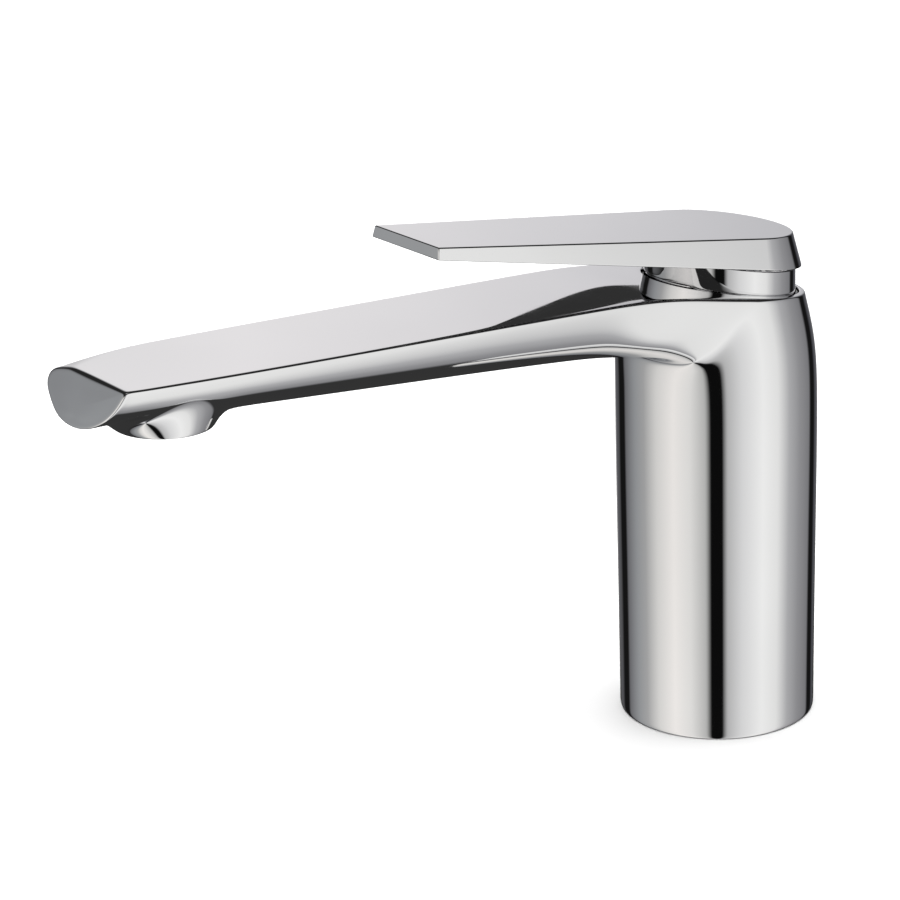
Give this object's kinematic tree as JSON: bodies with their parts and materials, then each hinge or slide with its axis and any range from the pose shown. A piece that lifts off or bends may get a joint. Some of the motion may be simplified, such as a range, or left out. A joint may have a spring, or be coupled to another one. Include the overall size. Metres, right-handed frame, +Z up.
{
  "type": "bathroom mixer faucet",
  "caption": "Single-lever deck basin mixer: a round column, a long D-section spout rising to an oblique end, and a flat wedge lever on a turning collar.",
  "frame": {"origin": "centre of the column's round foot, on the deck", "axes": "+Z up out of the deck along the column, -Y along the spout to the front, +X to the user's right"},
  "size_m": [0.0508, 0.2097, 0.143],
  "materials": {
    "polished_chrome": "mirror polished chrome plate on cast brass or zinc",
    "turned_brass": "machined brass",
    "steel": "stainless steel",
    "cartridge_plastic": "moulded acetal, satin",
    "carrier_plastic": "moulded acetal, satin",
    "limit_plastic": "moulded acetal, satin",
    "ceramic": "lapped alumina ceramic",
    "seal_rubber": "black EPDM rubber",
    "aerator_plastic": "moulded acetal, pale grey",
    "cover_plastic": "silver-grey plug"
  },
  "bodies": {
    "faucet": {"body_casting": "polished_chrome", "base_seal": "seal_rubber", "cartridge_base": "cartridge_plastic", "cartridge_port_seals": "seal_rubber", "cartridge_housing": "cartridge_plastic", "fixed_disc": "ceramic", "temperature_limit_ring": "limit_plastic", "cartridge_nut": "turned_brass", "collar_guide_ring": "cartridge_plastic", "aerator_shell": "polished_chrome", "aerator_flow_insert": "aerator_plastic", "aerator_screen": "steel", "flow_regulator": "aerator_plastic", "aerator_washer": "seal_rubber"},
    "swivel": {"rotor": "cartridge_plastic", "pivot_pin": "steel", "trim_collar": "polished_chrome", "collar_retaining_ring": "steel"},
    "mixing_disc": {"moving_disc": "ceramic", "disc_carrier": "carrier_plastic"},
    "lever": {"lever_handle": "polished_chrome", "spindle": "turned_brass", "handle_screw": "steel", "screw_cover": "cover_plastic"}
  },
  "joints": [
    {"name": "swivel_turn", "type": "hinge", "parent": "faucet", "child": "swivel", "pos_m": [0, 0.0012, 0.103], "axis": [0, 0, 1], "range_deg": [-45, 45]},
    {"name": "lever_lift", "type": "hinge", "parent": "swivel", "child": "lever", "pos_m": [0, 0.0012, 0.103], "axis": [-1, 0, 0], "range_deg": [0, 20]},
    {"name": "disc_slide", "type": "slide", "parent": "swivel", "child": "mixing_disc", "axis": [0, -1, 0], "range_m": [0, 0.004]}
  ],
  "couplings": [
    {"joint": "disc_slide", "follows": "lever_lift", "m_per_rad": 0.011}
  ]
}
